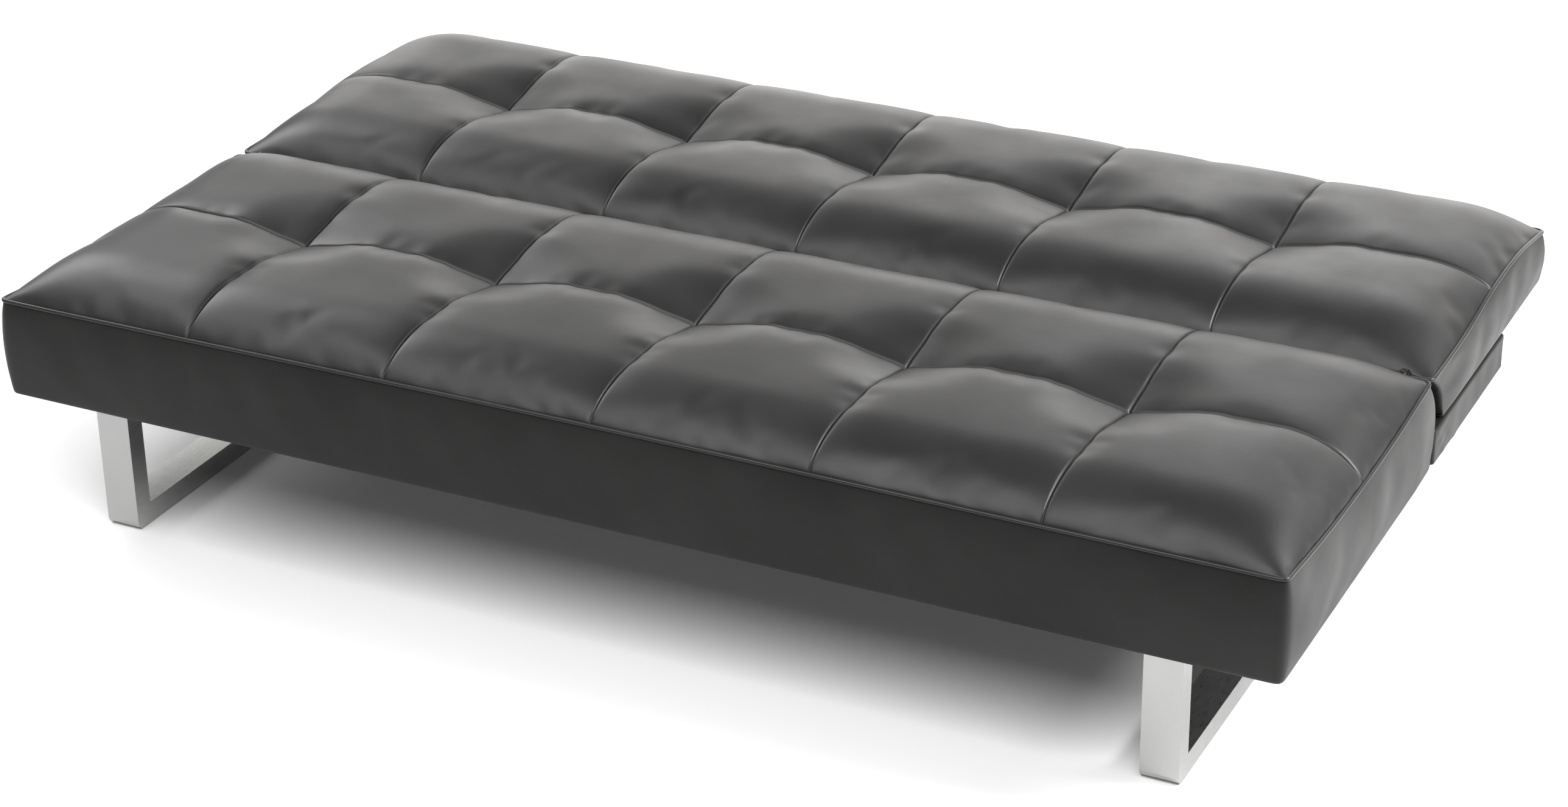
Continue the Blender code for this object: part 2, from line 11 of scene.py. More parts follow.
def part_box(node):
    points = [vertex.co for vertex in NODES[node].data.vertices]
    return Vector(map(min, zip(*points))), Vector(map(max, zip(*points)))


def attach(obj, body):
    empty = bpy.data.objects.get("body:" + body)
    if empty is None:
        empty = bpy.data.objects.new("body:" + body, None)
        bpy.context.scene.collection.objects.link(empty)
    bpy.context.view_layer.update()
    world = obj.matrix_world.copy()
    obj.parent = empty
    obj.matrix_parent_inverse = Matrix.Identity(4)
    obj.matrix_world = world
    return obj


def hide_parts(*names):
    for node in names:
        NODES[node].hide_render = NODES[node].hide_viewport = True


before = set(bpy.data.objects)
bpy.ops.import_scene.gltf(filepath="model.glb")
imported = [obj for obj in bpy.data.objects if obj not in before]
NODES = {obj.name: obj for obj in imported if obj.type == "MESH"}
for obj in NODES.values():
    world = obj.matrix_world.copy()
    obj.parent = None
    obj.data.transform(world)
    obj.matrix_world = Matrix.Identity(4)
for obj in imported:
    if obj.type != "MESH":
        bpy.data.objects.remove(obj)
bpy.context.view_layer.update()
MM = 0.001
TINY = 1e-9

# ---------------------------------------------------------------- upholstery, in metres
PANELS = 6  # stitched panels along each section
GRID_STEP = 0.0125  # spacing of the upholstery's grid lines
SEAM_LINES = (0.0014, 0.0042, 0.0085)  # grid lines this far to each side of a seam
RIM_LINES = (0.002, 0.006, 0.011)  # grid lines this far inside the welt
CORNER = 0.0095  # plan radius of a section's corners
ROLL = 0.110  # how far in from the welt the crown is reached
ROLL_POWER = 0.65
TUFT_DIP = 0.0175  # how far a tuft pulls the cover down
TUFT_REACH = 0.122  # how far from the tuft that is felt
PINCH_DIP = 0.0065  # the sharp pinch at the tuft itself
PINCH_REACH = 0.011
SEAM_DIP = 0.0045  # the valley that a seam draws between two panels
SEAM_REACH = 0.016
GROOVE_DEPTH = 0.0046  # the sewn line itself
GROOVE_WIDTH = 0.0011
LEATHER = 0.0016  # thickness
WELT_RADIUS = 0.0030
WELT_SIDES = 10

# ---------------------------------------------------------------- borders
BORDER_ROWS = 14
BORDER_STAND = 0.0015  # the border stands this far outside the welt
STAND_SHARE = 0.12  # and reaches that over this share of its height
BORDER_BULGE = 0.0045
BULGE_POWER = 0.8
LEANING_PART = 8  # one face leans: the last of this many equal parts of the section's depth
PUCKER = 0.0007  # depth of the border's soft vertical puckers
PUCKER_WAVES = ((1.0, 43, 0.0), (0.8, 71, 1.7), (0.8, 27, 0.6))  # share, radians per metre, phase
SOFT_GAP = 0.0006  # cushion to border
LINING_ROWS = 5  # rows of the cushion's walls, behind the border
LINING_INSET = LEATHER + SOFT_GAP + BORDER_BULGE * 0.2

# ---------------------------------------------------------------- the base's leather and the outside panel
BASE_LEATHER = LEATHER * 0.8
BASE_FRONT_LAP = 0.0005  # the base's leather laps over the ends of its rails
BASE_STAND = 0.0008
BASE_RETURN = 0.045  # how far it turns in at the front
BASE_CORNER = 0.005
BASE_TOP_LAP = 0.0016  # it lies this far above the box
BASE_ROUNDING = 0.0016  # height of its rounded upper edge
BASE_FLANGE_ROWS = (0.028, 0.016, 0.006, 0.0016)  # its rows on the deck, as distances in from the edge
BASE_ROWS = 10
BASE_WAVES = ((1.0, 63, 0.0), (1.0, 101, 0.9))
BASE_PUCKER_SHARE = 0.5
PLEAT = 0.0022
# share of PLEAT, distance behind the front at the top, how much more at the bottom, width
PLEATS = ((1.0, 0.012, 0.035, 0.004), (0.7, 0.034, 0.060, 0.006))
PATH_TURN_STEPS = 5  # points on a rounded corner of a path, with both ends
HEM_INSET = 0.014
HEM_WIDTH = 0.0045
HEM_DEPTH = 0.0009
PANEL_SAG = 0.0003
SAG_RATES = ((23, 9), (-5, 31))  # radians per metre along x and y, for each of two crossed waves
PANEL_LAP = 0.0026  # the outside panel laps under the border
PANEL_STAND = 0.0012

# ring: the CAD node that its welt follows; tuft_y: its line of tufts
# crown: height of its padding above the welt
# bottom: lower edge of its border; inside_bottom: underside of its padding
# side_heights: the welt's height above the nominal one, from the front corner to the rear one
# front_camber: how far the front welt rises at its middle; lean_at: the face that leans
# lean: how far that face moves back, from the welt to the bottom edge
# front_reach: how far the front rim leans out, at the middle and at the right end; rear_reach: the rear rim
SEAT = {
    "name": "seat",
    "body": "base",
    "ring": "seat_piping",
    "tuft_y": -0.2645,
    "crown": 0.0465,
    "bottom": 0.1833,
    "inside_bottom": 0.2335,
    "side_heights": (0.001, -0.0095, -0.0130, -0.010, 0.0),
    "front_camber": 0.004,
    "lean_at": "rear",
    "lean": (0.0, 0.019, 0.033, 0.0415, 0.0445, 0.0445, 0.0435, 0.039),
    "front_reach": (0.0, 0.0),
    "rear_reach": 0.006,
}
BACK = {
    "name": "back",
    "body": "back",
    "ring": "back_piping",
    "tuft_y": 0.2805,
    "crown": 0.0515,
    "bottom": 0.2398,
    "inside_bottom": 0.2840,
    "side_heights": (0.003, 0.005, 0.018, 0.017, -0.003),
    "front_camber": 0.0,
    "lean_at": "front",
    "lean": (0.0, 0.019, 0.034, 0.045, 0.0510, 0.0525, 0.0525, 0.0520),
    "front_reach": (0.006, 0.013),
    "rear_reach": 0.0,
}

# ---------------------------------------------------------------- cloth
SIM_FRAMES = 20
SIM_CAP = 0.0038  # the furthest that a point may move
BORDER_SMOOTH = 0.022  # the border's movement is averaged over about this length
SEAM_PIN = 0.6  # how firmly the seams are held, where 1 is fixed
PINNED_AT_SEAM = 0.0005  # a point this close to a seam is held
PINNED_AT_TUFT = 0.003
CLOTH = {
    "quality": 6,
    "mass": 0.2,
    "tension_stiffness": 40,
    "compression_stiffness": 40,
    "shear_stiffness": 20,
    "bending_stiffness": 2.5,
    "pin_stiffness": 4,
    "use_pressure": True,
    "uniform_pressure_force": 4.0,
    "shrink_min": -0.004,
}


def spread_lines(low, high, stops):
    """Grid lines from low to high: evenly spaced, with close ones beside each stop and each end."""
    marks = [low, *stops, high]
    lines = set()
    for left, right in zip(marks, marks[1:]):
        left_steps = RIM_LINES if left == low else SEAM_LINES
        right_steps = RIM_LINES if right == high else SEAM_LINES
        lines.add(left)
        lines.update(left + step for step in left_steps)
        lines.update(right - step for step in right_steps)
        start = left + left_steps[-1]
        end = right - right_steps[-1]
        count = round((end - start) / GRID_STEP)
        lines.update(np.linspace(start, end, count + 1)[1:-1])
    lines.add(high)
    return np.array(sorted(lines))


def edge_rise(distance):
    """From 0 at the welt to 1 on the crown."""
    share = np.clip(distance / ROLL, 0, 1)
    return (1 - (1 - share) ** 2) ** ROLL_POWER


def along(heights, share):
    """A smooth curve through evenly spaced heights."""
    places = np.linspace(0, 1, len(heights))
    slopes = np.gradient(heights, places)
    cell = np.clip((share * (len(heights) - 1)).astype(int), 0, len(heights) - 2)
    step = places[1]
    t = (share - places[cell]) / step
    values = np.asarray(heights)
    t2 = t * t
    t3 = t2 * t
    return (
        (2 * t3 - 3 * t2 + 1) * values[cell]
        + (t3 - 2 * t2 + t) * step * slopes[cell]
        + (3 * t2 - 2 * t3) * values[cell + 1]
        + (t3 - t2) * step * slopes[cell + 1]
    )


def ripples(place, waves):
    """A sum of sines along a length."""
    return sum(share * np.sin(place * rate + phase) for share, rate, phase in waves)


def round_corners(x, y, low, high):
    """Grid points of a box about x = 0, with its plan corners pulled in to their radius."""
    middle = (low[1] + high[1]) / 2
    to_x = high[0] - np.abs(x)
    to_y = (high[1] - low[1]) / 2 - np.abs(y - middle)
    a = np.clip(1 - to_x / CORNER, 0, 1)
    b = np.clip(1 - to_y / CORNER, 0, 1)
    moved_x = (a - a * np.sqrt(1 - b * b / 2)) * CORNER
    moved_y = (b - b * np.sqrt(1 - a * a / 2)) * CORNER
    return x - np.sign(x) * moved_x, y - np.sign(y - middle) * moved_y


def outward_of(run):
    """Unit plan vectors to the right of each step of a counterclockwise run."""
    outward = np.stack([run[:, 1], -run[:, 0]], axis=1)
    return outward / np.linalg.norm(outward, axis=1)[:, None]


class Section:
    """One upholstered section: its grid, its top cover and its border."""

    def __init__(self, spec):
        low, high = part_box(spec["ring"])
        self.spec = spec
        self.low = np.array(low)
        self.high = np.array(high)
        self.welt_z = (low.z + high.z) / 2
        self.tuft_y = spec["tuft_y"]
        length = self.high[0] - self.low[0]
        self.seams = [self.low[0] + length * i / PANELS for i in range(1, PANELS)]
        xs = spread_lines(self.low[0], self.high[0], self.seams)
        ys = spread_lines(self.low[1], self.high[1], [self.tuft_y])
        self.x, self.y = np.meshgrid(xs, ys, indexing="ij")
        self.to_seam = np.minimum(self.cross_seam_distance(), np.abs(self.y - self.tuft_y))
        self.to_tuft = self.tuft_distance()

    def cross_seam_distance(self):
        """Distance of each grid point to the nearest seam that runs from front to rear."""
        return np.min([np.abs(self.x - seam) for seam in self.seams], axis=0)

    def tuft_distance(self):
        return np.min([np.hypot(self.x - seam, self.y - self.tuft_y) for seam in self.seams], axis=0)

    def rim_height(self):
        """Height of the welt line, carried inward from the nearest edges."""
        ends = self.spec["side_heights"]
        side = along(ends, (self.y - self.low[1]) / (self.high[1] - self.low[1]))
        camber = np.cos(np.pi * self.x / (2 * self.high[0])) ** 2
        front = ends[0] + self.spec["front_camber"] * camber
        to_side = self.high[0] - np.abs(self.x) + MM
        to_front = self.y - self.low[1] + MM
        to_rear = self.high[1] - self.y + MM
        weights = [1 / to_side**2, 1 / to_front**2, 1 / to_rear**2]
        carried = weights[0] * side + weights[1] * front + weights[2] * ends[-1]
        return self.welt_z + carried / sum(weights)

    def height(self):
        """Height of the top cover over each grid point."""
        rim = self.rim_height()
        dip = TUFT_DIP * np.cos(np.pi / 2 * np.clip(self.to_tuft / TUFT_REACH, 0, 1)) ** 2
        dip += PINCH_DIP * np.exp(-self.to_tuft / PINCH_REACH)
        dip += SEAM_DIP * np.exp(-self.to_seam / SEAM_REACH)
        crown = self.welt_z + self.spec["crown"] - dip
        rise = edge_rise(self.high[0] - np.abs(self.x))
        rise = rise * edge_rise(self.y - self.low[1]) * edge_rise(self.high[1] - self.y)
        return rim + (crown - rim) * rise

    def plan(self):
        """Plan of the grid: the corners are rounded and the front and rear rims lean out."""
        plan_x, plan_y = round_corners(self.x, self.y, self.low, self.high)
        near_end = np.clip(self.x / self.high[0], 0, 1) ** 2
        centre_reach, end_reach = self.spec["front_reach"]
        front_reach = centre_reach + (end_reach - centre_reach) * near_end
        share = (self.y - self.low[1]) / (self.high[1] - self.low[1])
        reach = self.spec["rear_reach"] * np.clip(2 * share - 1, 0, 1) ** 2
        reach = reach - front_reach * np.clip(1 - 2 * share, 0, 1) ** 2
        return plan_x, plan_y + reach

    def top_points(self):
        return np.stack([*self.plan(), self.height()], axis=-1)

    def ring(self):
        """Point numbers of the rim, counterclockwise seen from above."""
        number = np.arange(self.x.size).reshape(self.x.shape)
        front = number[:-1, 0]
        right = number[-1, :-1]
        rear = number[:0:-1, -1]
        left = number[0, :0:-1]
        return np.concatenate([front, right, rear, left])

    def border_points(self, rim):
        """Rows of points from the rim down to the section's bottom edge."""
        spec = self.spec
        ahead = np.roll(rim, -1, axis=0)
        outward = outward_of((ahead - np.roll(rim, 1, axis=0))[:, :2])
        share_y = (rim[:, 1] - self.low[1]) / (self.high[1] - self.low[1])
        if spec["lean_at"] == "front":
            share_y = 1 - share_y
        leaning = np.clip(share_y * LEANING_PART - (LEANING_PART - 1), 0, 1)  # 1 on the leaning face
        upright = 1 - leaning
        waves = ripples(np.cumsum(np.linalg.norm(ahead - rim, axis=1)), PUCKER_WAVES)
        reach = spec["rear_reach"] if spec["lean_at"] == "rear" else 0.0
        front_reach = np.maximum(self.low[1] - rim[:, 1], 0)
        rows = []
        for t in np.arange(BORDER_ROWS + 1) / BORDER_ROWS:
            lean = along(spec["lean"], np.full(len(rim), t))
            bulge = BORDER_BULGE * np.sin(np.pi * t) ** BULGE_POWER
            bulge = bulge + BORDER_STAND * np.clip(t / STAND_SHARE, 0, 1)
            bulge = bulge + PUCKER * waves * np.sin(np.pi * t) * (1 - t)
            row = rim.copy()
            row[:, :2] += outward * (bulge * upright)[:, None]
            row[:, 1] += lean * share_y - reach * t * leaning + front_reach * t
            row[:, 2] = rim[:, 2] + (spec["bottom"] - rim[:, 2]) * t
            rows.append(row)
        return np.array(rows)


# ---------------------------------------------------------------- meshes
def grid_faces(nx, ny):
    index = np.arange(nx * ny).reshape(nx, ny)
    quads = np.stack([index[:-1, :-1], index[1:, :-1], index[1:, 1:], index[:-1, 1:]], axis=-1)
    return quads.reshape(-1, 4)


def band_faces(upper, lower):
    """Faces between two closed rings of point numbers."""
    return np.stack([upper, lower, np.roll(lower, -1), np.roll(upper, -1)], axis=-1)


def stacked_rings(start, rings, count):
    """Point numbers of rings that lie one after the other, each of count points."""
    return start + np.arange(rings * count).reshape(rings, count)


def mesh_object(name, points, faces):
    mesh = bpy.data.meshes.new(name)
    mesh.from_pydata([tuple(p) for p in points], [], [tuple(int(i) for i in f) for f in faces])
    mesh.validate()
    made = bpy.data.objects.new(name, mesh)
    bpy.context.scene.collection.objects.link(made)
    return made


def strip_mesh(name, rows):
    """An open grid of rows of points."""
    return mesh_object(name, rows.reshape(-1, 3), grid_faces(*rows.shape[:2]))


def shade_smooth(mesh):
    for face in mesh.polygons:
        face.use_smooth = True


def subdivide(made, thickness=None):
    """Applies a thickness, where one is given, and one level of subdivision."""
    if thickness is not None:
        solid = made.modifiers.new("Thickness", "SOLIDIFY")
        solid.thickness = thickness
        solid.offset = -1
    rounded = made.modifiers.new("Subdivision", "SUBSURF")
    rounded.levels = 1
    rounded.render_levels = 1
    graph = bpy.context.evaluated_depsgraph_get()
    mesh = bpy.data.meshes.new_from_object(made.evaluated_get(graph))
    made.modifiers.clear()
    made.data = mesh
    shade_smooth(mesh)


def close_underside(mesh):
    """Fills the open lower edge with a flat underside."""
    shape = bmesh.new()
    shape.from_mesh(mesh)
    rim = [edge for edge in shape.edges if edge.is_boundary]
    filled = bmesh.ops.holes_fill(shape, edges=rim, sides=0)
    bmesh.ops.triangulate(shape, faces=filled["faces"])
    shape.to_mesh(mesh)
    shape.free()
    shade_smooth(mesh)


def read_points(mesh):
    flat = np.zeros(len(mesh.vertices) * 3)
    mesh.vertices.foreach_get("co", flat)
    return flat.reshape(-1, 3)


# ---------------------------------------------------------------- cloth simulation
def inflate(points, faces, pins):
    """Points after cloth under pressure has settled; pins hold their vertices by weight."""
    cloth = mesh_object("cloth_trial", points, faces)
    group = cloth.vertex_groups.new(name="held")
    for weight in np.unique(pins[pins > 0]):
        group.add([int(i) for i in np.nonzero(pins == weight)[0]], float(weight), "REPLACE")
    modifier = cloth.modifiers.new("Cloth", "CLOTH")
    for name, value in CLOTH.items():
        setattr(modifier.settings, name, value)
    modifier.settings.vertex_group_mass = "held"
    modifier.settings.effector_weights.gravity = 0
    modifier.collision_settings.use_collision = False
    modifier.point_cache.frame_start = 1
    modifier.point_cache.frame_end = SIM_FRAMES
    scene = bpy.context.scene
    for step in range(1, SIM_FRAMES + 1):
        scene.frame_set(step)
    evaluated = cloth.evaluated_get(bpy.context.evaluated_depsgraph_get())
    settled = read_points(evaluated.to_mesh())
    evaluated.to_mesh_clear()
    scene.frame_set(1)
    mesh = cloth.data
    bpy.data.objects.remove(cloth)
    bpy.data.meshes.remove(mesh)
    move = settled - points
    distance = np.linalg.norm(move, axis=1)
    scale = SIM_CAP * np.tanh(distance / SIM_CAP) / np.maximum(distance, TINY)
    return points + move * scale[:, None]


def even_out(rim, move):
    """Movement of the border's rows, averaged over a short run of the rim."""
    steps = np.linalg.norm(np.roll(rim, -1, axis=0) - rim, axis=1)
    place = np.cumsum(steps)
    apart = np.abs(place[:, None] - place[None, :])
    apart = np.minimum(apart, place[-1] - apart)
    weight = np.exp(-((apart / BORDER_SMOOTH) ** 2)) * steps[None, :]
    weight /= weight.sum(axis=1)[:, None]
    return np.einsum("ab,kbc->kac", weight, move)


def soft_shape(section):
    """The section's top points and border rows, after the cloth has settled."""
    top = section.top_points().reshape(-1, 3)
    rim = section.ring()
    rows = section.border_points(top[rim])
    points = np.concatenate([top, rows[1:].reshape(-1, 3)])
    rings = [rim, *stacked_rings(len(top), BORDER_ROWS, len(rim))]
    bands = [band_faces(upper, lower) for upper, lower in zip(rings, rings[1:])]
    faces = np.concatenate([grid_faces(*section.x.shape), *bands])
    pins = np.zeros(len(points))
    pins[: len(top)][section.to_seam.reshape(-1) < PINNED_AT_SEAM] = SEAM_PIN
    pins[: len(top)][section.to_tuft.reshape(-1) < PINNED_AT_TUFT] = 1
    pins[rim] = 1
    pins[-len(rim):] = 1
    settled = inflate(points, faces, pins)
    move = (settled - points)[len(top):].reshape(-1, len(rim), 3)
    top = settled[: len(top)]
    rows[1:] += even_out(rows[0], move)
    rows[0] = top[rim]
    return top, rows


# ---------------------------------------------------------------- leather pieces
def hand_over(made, material, body, replaced):
    """Gives a finished piece its look and its body, and hides the CAD nodes that it replaces."""
    made.data.materials.append(material)
    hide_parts(*replaced)
    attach(made, body)


def lining_rows(section, rows):
    """Rows of points just inside the border, down to the padding's underside."""
    count = rows.shape[1]
    rim_z = rows[0][:, 2]
    centre = (section.low[:2] + section.high[:2]) / 2
    lining = []
    for k in range(1, LINING_ROWS + 1):
        height = rim_z + (section.spec["inside_bottom"] - rim_z) * (k / LINING_ROWS)
        row = np.empty((count, 3))
        for a in range(count):
            column = rows[:, a]
            place = np.interp(-height[a], -column[:, 2], np.arange(len(column)))
            above = int(place)
            below = min(above + 1, len(column) - 1)
            row[a] = column[above] + (column[below] - column[above]) * (place - above)
        row[:, :2] += np.sign(centre - row[:, :2]) * LINING_INSET
        row[:, 2] = height
        lining.append(row)
    return np.array(lining)


def build_cover(section, top, rows, look):
    """The quilted top with the padding inside it: one closed body."""
    name = section.spec["name"]
    sewn = top.copy()
    sewn[:, 2] -= GROOVE_DEPTH * np.exp(-((section.to_seam.reshape(-1) / GROOVE_WIDTH) ** 2))
    lining = lining_rows(section, rows)
    rings = [section.ring(), *stacked_rings(len(sewn), *lining.shape[:2])]
    bands = [band_faces(upper, lower) for upper, lower in zip(rings, rings[1:])]
    faces = np.concatenate([grid_faces(*section.x.shape), *bands])
    points = np.concatenate([sewn, lining.reshape(-1, 3)])
    cover = mesh_object(f"{name}_quilted_cushion", points, faces)
    subdivide(cover)
    close_underside(cover.data)
    replaced = [f"{name}_quilted_cover", f"{name}_foam"]
    hand_over(cover, look, section.spec["body"], replaced)


def build_border(section, rows, look):
    """The leather band round the section, from the welt to the bottom edge."""
    name = section.spec["name"]
    rings = stacked_rings(0, *rows.shape[:2])
    faces = np.concatenate([band_faces(upper, lower) for upper, lower in zip(rings, rings[1:])])
    border = mesh_object(f"{name}_border_band", rows.reshape(-1, 3), faces)
    subdivide(border, LEATHER)
    sides = [f"{name}_border_{side}" for side in ("front", "rear", "left", "right")]
    hand_over(border, look, section.spec["body"], sides)


def build_welt(section, rim, look):
    """The piping: a round cord along the rim."""
    run = np.roll(rim, -1, axis=0) - np.roll(rim, 1, axis=0)
    run /= np.linalg.norm(run, axis=1)[:, None]
    across = np.cross(run, (0.0, 0.0, 1.0))
    across /= np.linalg.norm(across, axis=1)[:, None]
    lift = np.cross(across, run)
    sides = []
    for angle in 2 * math.pi * np.arange(WELT_SIDES) / WELT_SIDES:
        sides.append(rim + WELT_RADIUS * (math.cos(angle) * across + math.sin(angle) * lift))
    points = np.array(sides).transpose(1, 0, 2).reshape(-1, 3)
    rings = stacked_rings(0, len(rim), WELT_SIDES)
    faces = np.concatenate([band_faces(far, near) for near, far in zip(rings, np.roll(rings, -1, axis=0))])
    welt = mesh_object(f"{section.spec['name']}_welt", points, faces)
    subdivide(welt)
    hand_over(welt, look, section.spec["body"], [section.spec["ring"]])


def round_path(corners, radius, step):
    """An open path through plan corners, rounded, with points about step apart."""
    points = [np.array(corners[0], float)]
    for before, corner, after in zip(corners, corners[1:], corners[2:]):
        corner = np.array(corner, float)
        into = corner - before
        out = after - corner
        into /= np.linalg.norm(into)
        out /= np.linalg.norm(out)
        start = corner - into * radius
        end = corner + out * radius
        centre = start + out * radius
        points.append(start)
        for turn in np.linspace(0, math.pi / 2, PATH_TURN_STEPS)[1:-1]:
            points.append(centre - out * radius * math.cos(turn) + into * radius * math.sin(turn))
        points.append(end)
    points.append(np.array(corners[-1], float))
    path = [points[0]]
    for left, right in zip(points, points[1:]):
        count = max(1, round(np.linalg.norm(right - left) / step))
        path += [left + (right - left) * k / count for k in range(1, count + 1)]
    return np.array(path)


def build_base_cover(look):
    """The leather round the base box: folded over its top edge and pleated at its front ends."""
    low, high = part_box("base_cover")
    front = low.y - BASE_FRONT_LAP
    half = high.x + BASE_STAND
    rear = high.y + BASE_STAND
    inner = half - BASE_RETURN
    corners = [(inner, front), (half, front), (half, rear), (-half, rear), (-half, front), (-inner, front)]
    path = round_path(corners, BASE_CORNER, GRID_STEP)
    run = np.roll(path, -1, axis=0) - np.roll(path, 1, axis=0)
    run[0] = path[1] - path[0]
    run[-1] = path[-1] - path[-2]
    outward = outward_of(run)
    ripple = ripples(np.cumsum(np.linalg.norm(run, axis=1)) / 2, BASE_WAVES)
    from_front = path[:, 1] - front
    at_side = np.abs(path[:, 0]) > half - MM
    top = high.z + BASE_TOP_LAP
    side_top = top - BASE_ROUNDING
    rows = []
    for inset in BASE_FLANGE_ROWS:
        rows.append(np.column_stack([path - outward * inset, np.full(len(path), top)]))
    for t in np.arange(BASE_ROWS + 1) / BASE_ROWS:
        out = ripple * PUCKER * BASE_PUCKER_SHARE * np.sin(math.pi * t)
        for share, place, slant, width in PLEATS:
            pleat = np.exp(-(((from_front - place - slant * t) / width) ** 2)) * PLEAT * share
            out = out + pleat * at_side
        height = np.full(len(path), side_top + (low.z - side_top) * t)
        rows.append(np.column_stack([path + outward * out[:, None], height]))
    cover = strip_mesh("base_leather_cover", np.array(rows))
    subdivide(cover, BASE_LEATHER)
    hand_over(cover, look, "base", ["base_cover"])


def build_outside_panel(look):
    """The leather-faced panel on the back's outer side, hemmed, with a shallow sag."""
    low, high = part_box("back_outside_panel")
    low = low - Vector((PANEL_LAP, PANEL_LAP, 0))
    high = high + Vector((PANEL_LAP, PANEL_LAP, 0))
    x, y = np.meshgrid(spread_lines(low.x, high.x, []), spread_lines(low.y, high.y, []))
    to_side = np.minimum(x - low.x, high.x - x)
    to_edge = np.minimum(to_side, np.minimum(y - low.y, high.y - y))
    hem = HEM_DEPTH * np.exp(-(((to_edge - HEM_INSET) / HEM_WIDTH) ** 2))
    sag = PANEL_SAG * np.prod([np.sin(x * along_x + y * along_y) for along_x, along_y in SAG_RATES], axis=0)
    z = low.z - PANEL_STAND + hem + sag
    panel = strip_mesh("back_outside_leather", np.stack([*round_corners(x, y, low, high), z], axis=-1))
    subdivide(panel, -LEATHER)
    hand_over(panel, look, "back", ["back_outside_panel"])


# ---------------------------------------------------------------- materials
NOISE_SPAN = (0.3, 0.7)  # nearly all of a noise texture lies between these
TOP_COLOURS = ((0.006, 0.006, 0.0064), (0.012, 0.0117, 0.0113))
# the border leather's colours are the top leather's made darker: painted shade on the borders, the base's
# leather and the outside panel
BORDER_SHADED_COLOURS = ((0.005, 0.0048, 0.0044), (0.010, 0.0095, 0.0088))
CHROME_COLOURS = ((0.37, 0.375, 0.37), (0.44, 0.44, 0.43))
ZINC_COLOURS = ((0.36, 0.37, 0.39), (0.60, 0.60, 0.58))
BLACKENED_COLOURS = ((0.020, 0.020, 0.022), (0.045, 0.044, 0.042))
SPRING_COLOURS = ((0.16, 0.16, 0.165), (0.30, 0.29, 0.28))
TIMBER_COLOURS = ((0.013, 0.010, 0.008), (0.030, 0.023, 0.017))
BACKING_COLOURS = ((0.010, 0.010, 0.011), (0.028, 0.028, 0.029))
FLOOR_COLOURS = ((0.77, 0.77, 0.77), (0.79, 0.79, 0.79))


class Shader:
    """A small helper for building one Principled material."""

    def __init__(self, name, metallic=0.0, roughness=0.5, specular=0.5):
        self.material = bpy.data.materials.new(name)
        self.material.use_nodes = True
        self.tree = self.material.node_tree
        self.main = self.tree.nodes["Principled BSDF"]
        self.main.inputs["Metallic"].default_value = metallic
        self.main.inputs["Roughness"].default_value = roughness
        self.main.inputs["Specular IOR Level"].default_value = specular
        self.place = self.node("ShaderNodeTexCoord").outputs["Object"]

    def node(self, kind, **settings):
        made = self.tree.nodes.new(kind)
        for name, value in settings.items():
            setattr(made, name, value)
        return made

    def link(self, source, target):
        self.tree.links.new(source, target)

    def stretch(self, scale):
        """Object coordinates, scaled along each axis."""
        made = self.node("ShaderNodeMapping")
        made.inputs["Scale"].default_value = scale
        self.link(self.place, made.inputs["Vector"])
        return made.outputs["Vector"]

    def noise(self, scale, detail=3.0, vector=None):
        made = self.node("ShaderNodeTexNoise")
        made.inputs["Scale"].default_value = scale
        made.inputs["Detail"].default_value = detail
        self.link(vector or self.place, made.inputs["Vector"])
        return made.outputs["Fac"]

    def cells(self, scale, feature="F1"):
        made = self.node("ShaderNodeTexVoronoi", feature=feature)
        made.inputs["Scale"].default_value = scale
        self.link(self.place, made.inputs["Vector"])
        return made.outputs["Distance"]

    def colour(self, source, colours, span=NOISE_SPAN):
        """Base colour that runs through two colours while source runs through span."""
        made = self.node("ShaderNodeValToRGB")
        for end, position, colour in zip(made.color_ramp.elements, span, colours):
            end.position = position
            end.color = (*colour, 1)
        self.link(source, made.inputs["Fac"])
        self.link(made.outputs["Color"], self.main.inputs["Base Color"])

    def roughness(self, source, low, high):
        """Roughness from low to high while source runs through NOISE_SPAN."""
        made = self.node("ShaderNodeMapRange")
        ends = zip(("From Min", "From Max", "To Min", "To Max"), (*NOISE_SPAN, low, high))
        for socket, value in ends:
            made.inputs[socket].default_value = value
        self.link(source, made.inputs["Value"])
        self.link(made.outputs["Result"], self.main.inputs["Roughness"])

    def bump(self, height, distance, strength, below=None):
        """One layer of relief, over the one below it; the last one made is the one that shows."""
        made = self.node("ShaderNodeBump")
        made.inputs["Strength"].default_value = strength
        made.inputs["Distance"].default_value = distance
        self.link(height, made.inputs["Height"])
        if below is not None:
            self.link(below, made.inputs["Normal"])
        self.link(made.outputs["Normal"], self.main.inputs["Normal"])
        return made.outputs["Normal"]


def leather(name, colours, rough, specular=0.38):
    """Smooth corrected-grain leather: fine pebbling, faint creases, slow changes of sheen."""
    made = Shader(name, specular=specular)
    made.colour(made.noise(5.0, detail=4), colours, span=(0.3, 0.75))
    made.roughness(made.noise(9.0, detail=5), *rough)
    pebbles = made.bump(made.cells(900.0, feature="SMOOTH_F1"), distance=0.00012, strength=0.35)
    creases = made.bump(made.noise(260.0, detail=4), distance=0.0002, strength=0.25, below=pebbles)
    made.bump(made.noise(22.0), distance=0.0015, strength=0.12, below=creases)
    return made.material


def satin_chrome(name):
    """Plated steel with a brushed grain that runs along the runners."""
    made = Shader(name, metallic=1.0)
    grain = made.noise(60.0, detail=6, vector=made.stretch((30, 0.6, 30)))
    made.colour(made.noise(4.0), CHROME_COLOURS)
    made.roughness(grain, 0.24, 0.36)
    made.bump(grain, distance=0.00004, strength=0.3)
    return made.material


